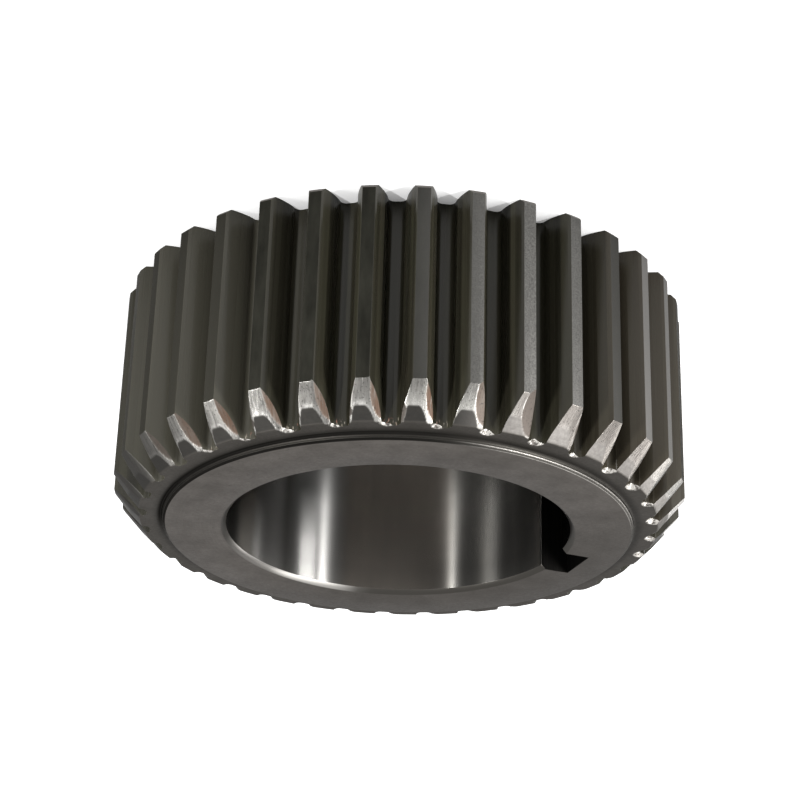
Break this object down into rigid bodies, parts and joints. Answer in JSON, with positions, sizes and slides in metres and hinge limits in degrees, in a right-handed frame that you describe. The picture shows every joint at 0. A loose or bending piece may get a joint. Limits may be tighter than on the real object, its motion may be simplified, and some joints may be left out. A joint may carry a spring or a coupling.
{
  "type": "spur gear",
  "caption": "Straight-cut spur gear with a large keyed bore, a low boss ring on one face and hand-ground tooth ends on that side.",
  "frame": {"origin": "on the gear's axis, at the plain end face that it stands on", "axes": "+Z along the bore's axis, from the plain face to the boss; +X through the middle of the keyway, which lies behind the middle of a tooth space"},
  "size_m": [0.1828, 0.183, 0.076],
  "materials": {
    "steel": "dark machined steel with a thin oily film, bright where the tooth ends were ground by hand"
  },
  "bodies": {
    "root": {"spur_gear": "steel"}
  },
  "joints": []
}
